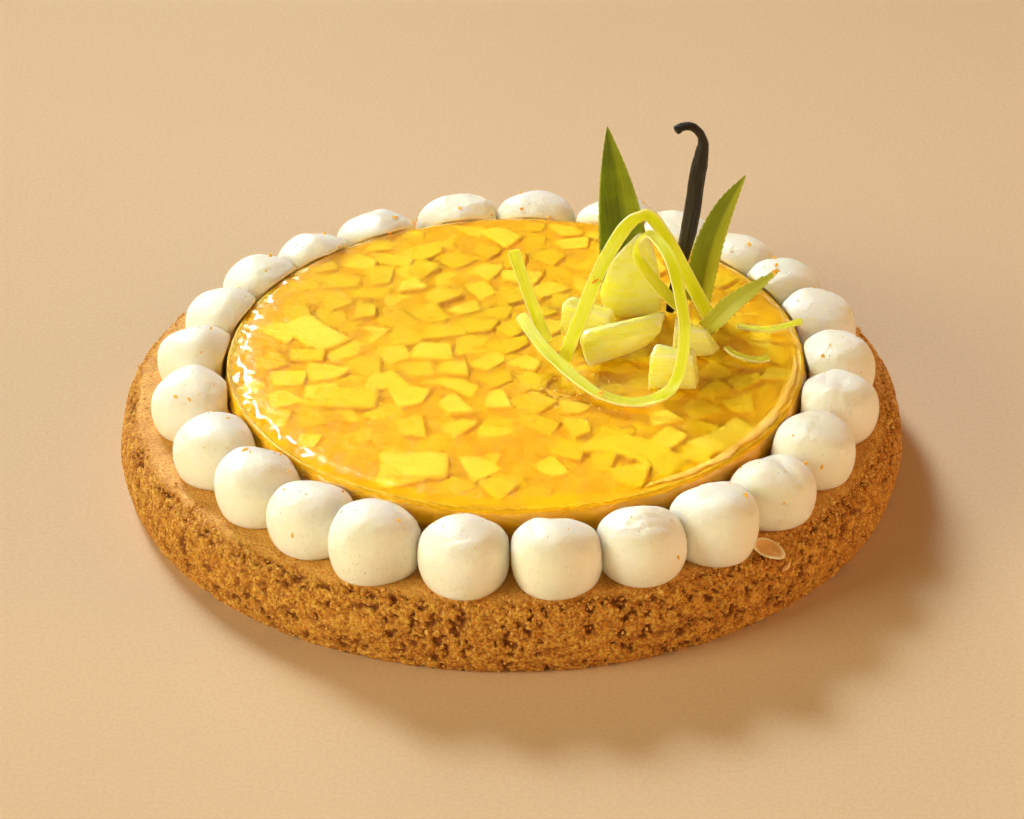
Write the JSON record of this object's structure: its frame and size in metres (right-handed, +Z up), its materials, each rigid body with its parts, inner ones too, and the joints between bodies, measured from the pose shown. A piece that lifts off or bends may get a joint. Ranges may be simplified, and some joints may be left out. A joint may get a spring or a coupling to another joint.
{
  "type": "fruit tart",
  "caption": "Round fruit tart: a thick crumbly biscuit base, a disc of set fruit jelly, a ring of piped cream dollops and a standing garnish of fruit, leaves and peel.",
  "frame": {"origin": "middle of the biscuit's flat underside", "axes": "+Z up, +X to the right of the tart as pictured, -Y towards the viewer"},
  "size_m": [0.24, 0.24, 0.1047],
  "materials": {
    "biscuit": "crumbly baked biscuit, golden brown, dry and matt",
    "jelly": "clear amber jelly over diced yellow fruit, wet gloss",
    "cream": "whipped ivory cream with specks of vanilla and zest, satin",
    "pineapple": "moist fibrous yellow fruit",
    "leaf": "stiff olive green leaf with a waxy sheen",
    "pod": "wrinkled, oily, nearly black pod",
    "peel": "yellow green cut peel, satin",
    "almond": "toasted almond flake, dull"
  },
  "bodies": {
    "root": {"almond_flake": "almond", "cream_01": "cream", "cream_02": "cream", "cream_03": "cream", "cream_04": "cream", "cream_05": "cream", "cream_06": "cream", "cream_07": "cream", "cream_08": "cream", "cream_09": "cream", "cream_10": "cream", "cream_11": "cream", "cream_12": "cream", "cream_13": "cream", "cream_14": "cream", "cream_15": "cream", "cream_16": "cream", "cream_17": "cream", "cream_18": "cream", "cream_19": "cream", "cream_20": "cream", "cream_21": "cream", "cream_22": "cream", "cream_23": "cream", "cream_24": "cream", "cream_25": "cream", "crust": "biscuit", "jelly": "jelly", "leaf_low": "leaf", "leaf_right": "leaf", "leaf_tall": "leaf", "peel_arch": "peel", "peel_curl": "peel", "peel_loop": "peel", "peel_sprig": "peel", "peel_upright": "peel", "pineapple_back_wedge": "pineapple", "pineapple_front_cube": "pineapple", "pineapple_front_wedge": "pineapple", "pineapple_left_block": "pineapple", "pineapple_right_wedge": "pineapple", "vanilla_pod": "pod"}
  },
  "joints": []
}
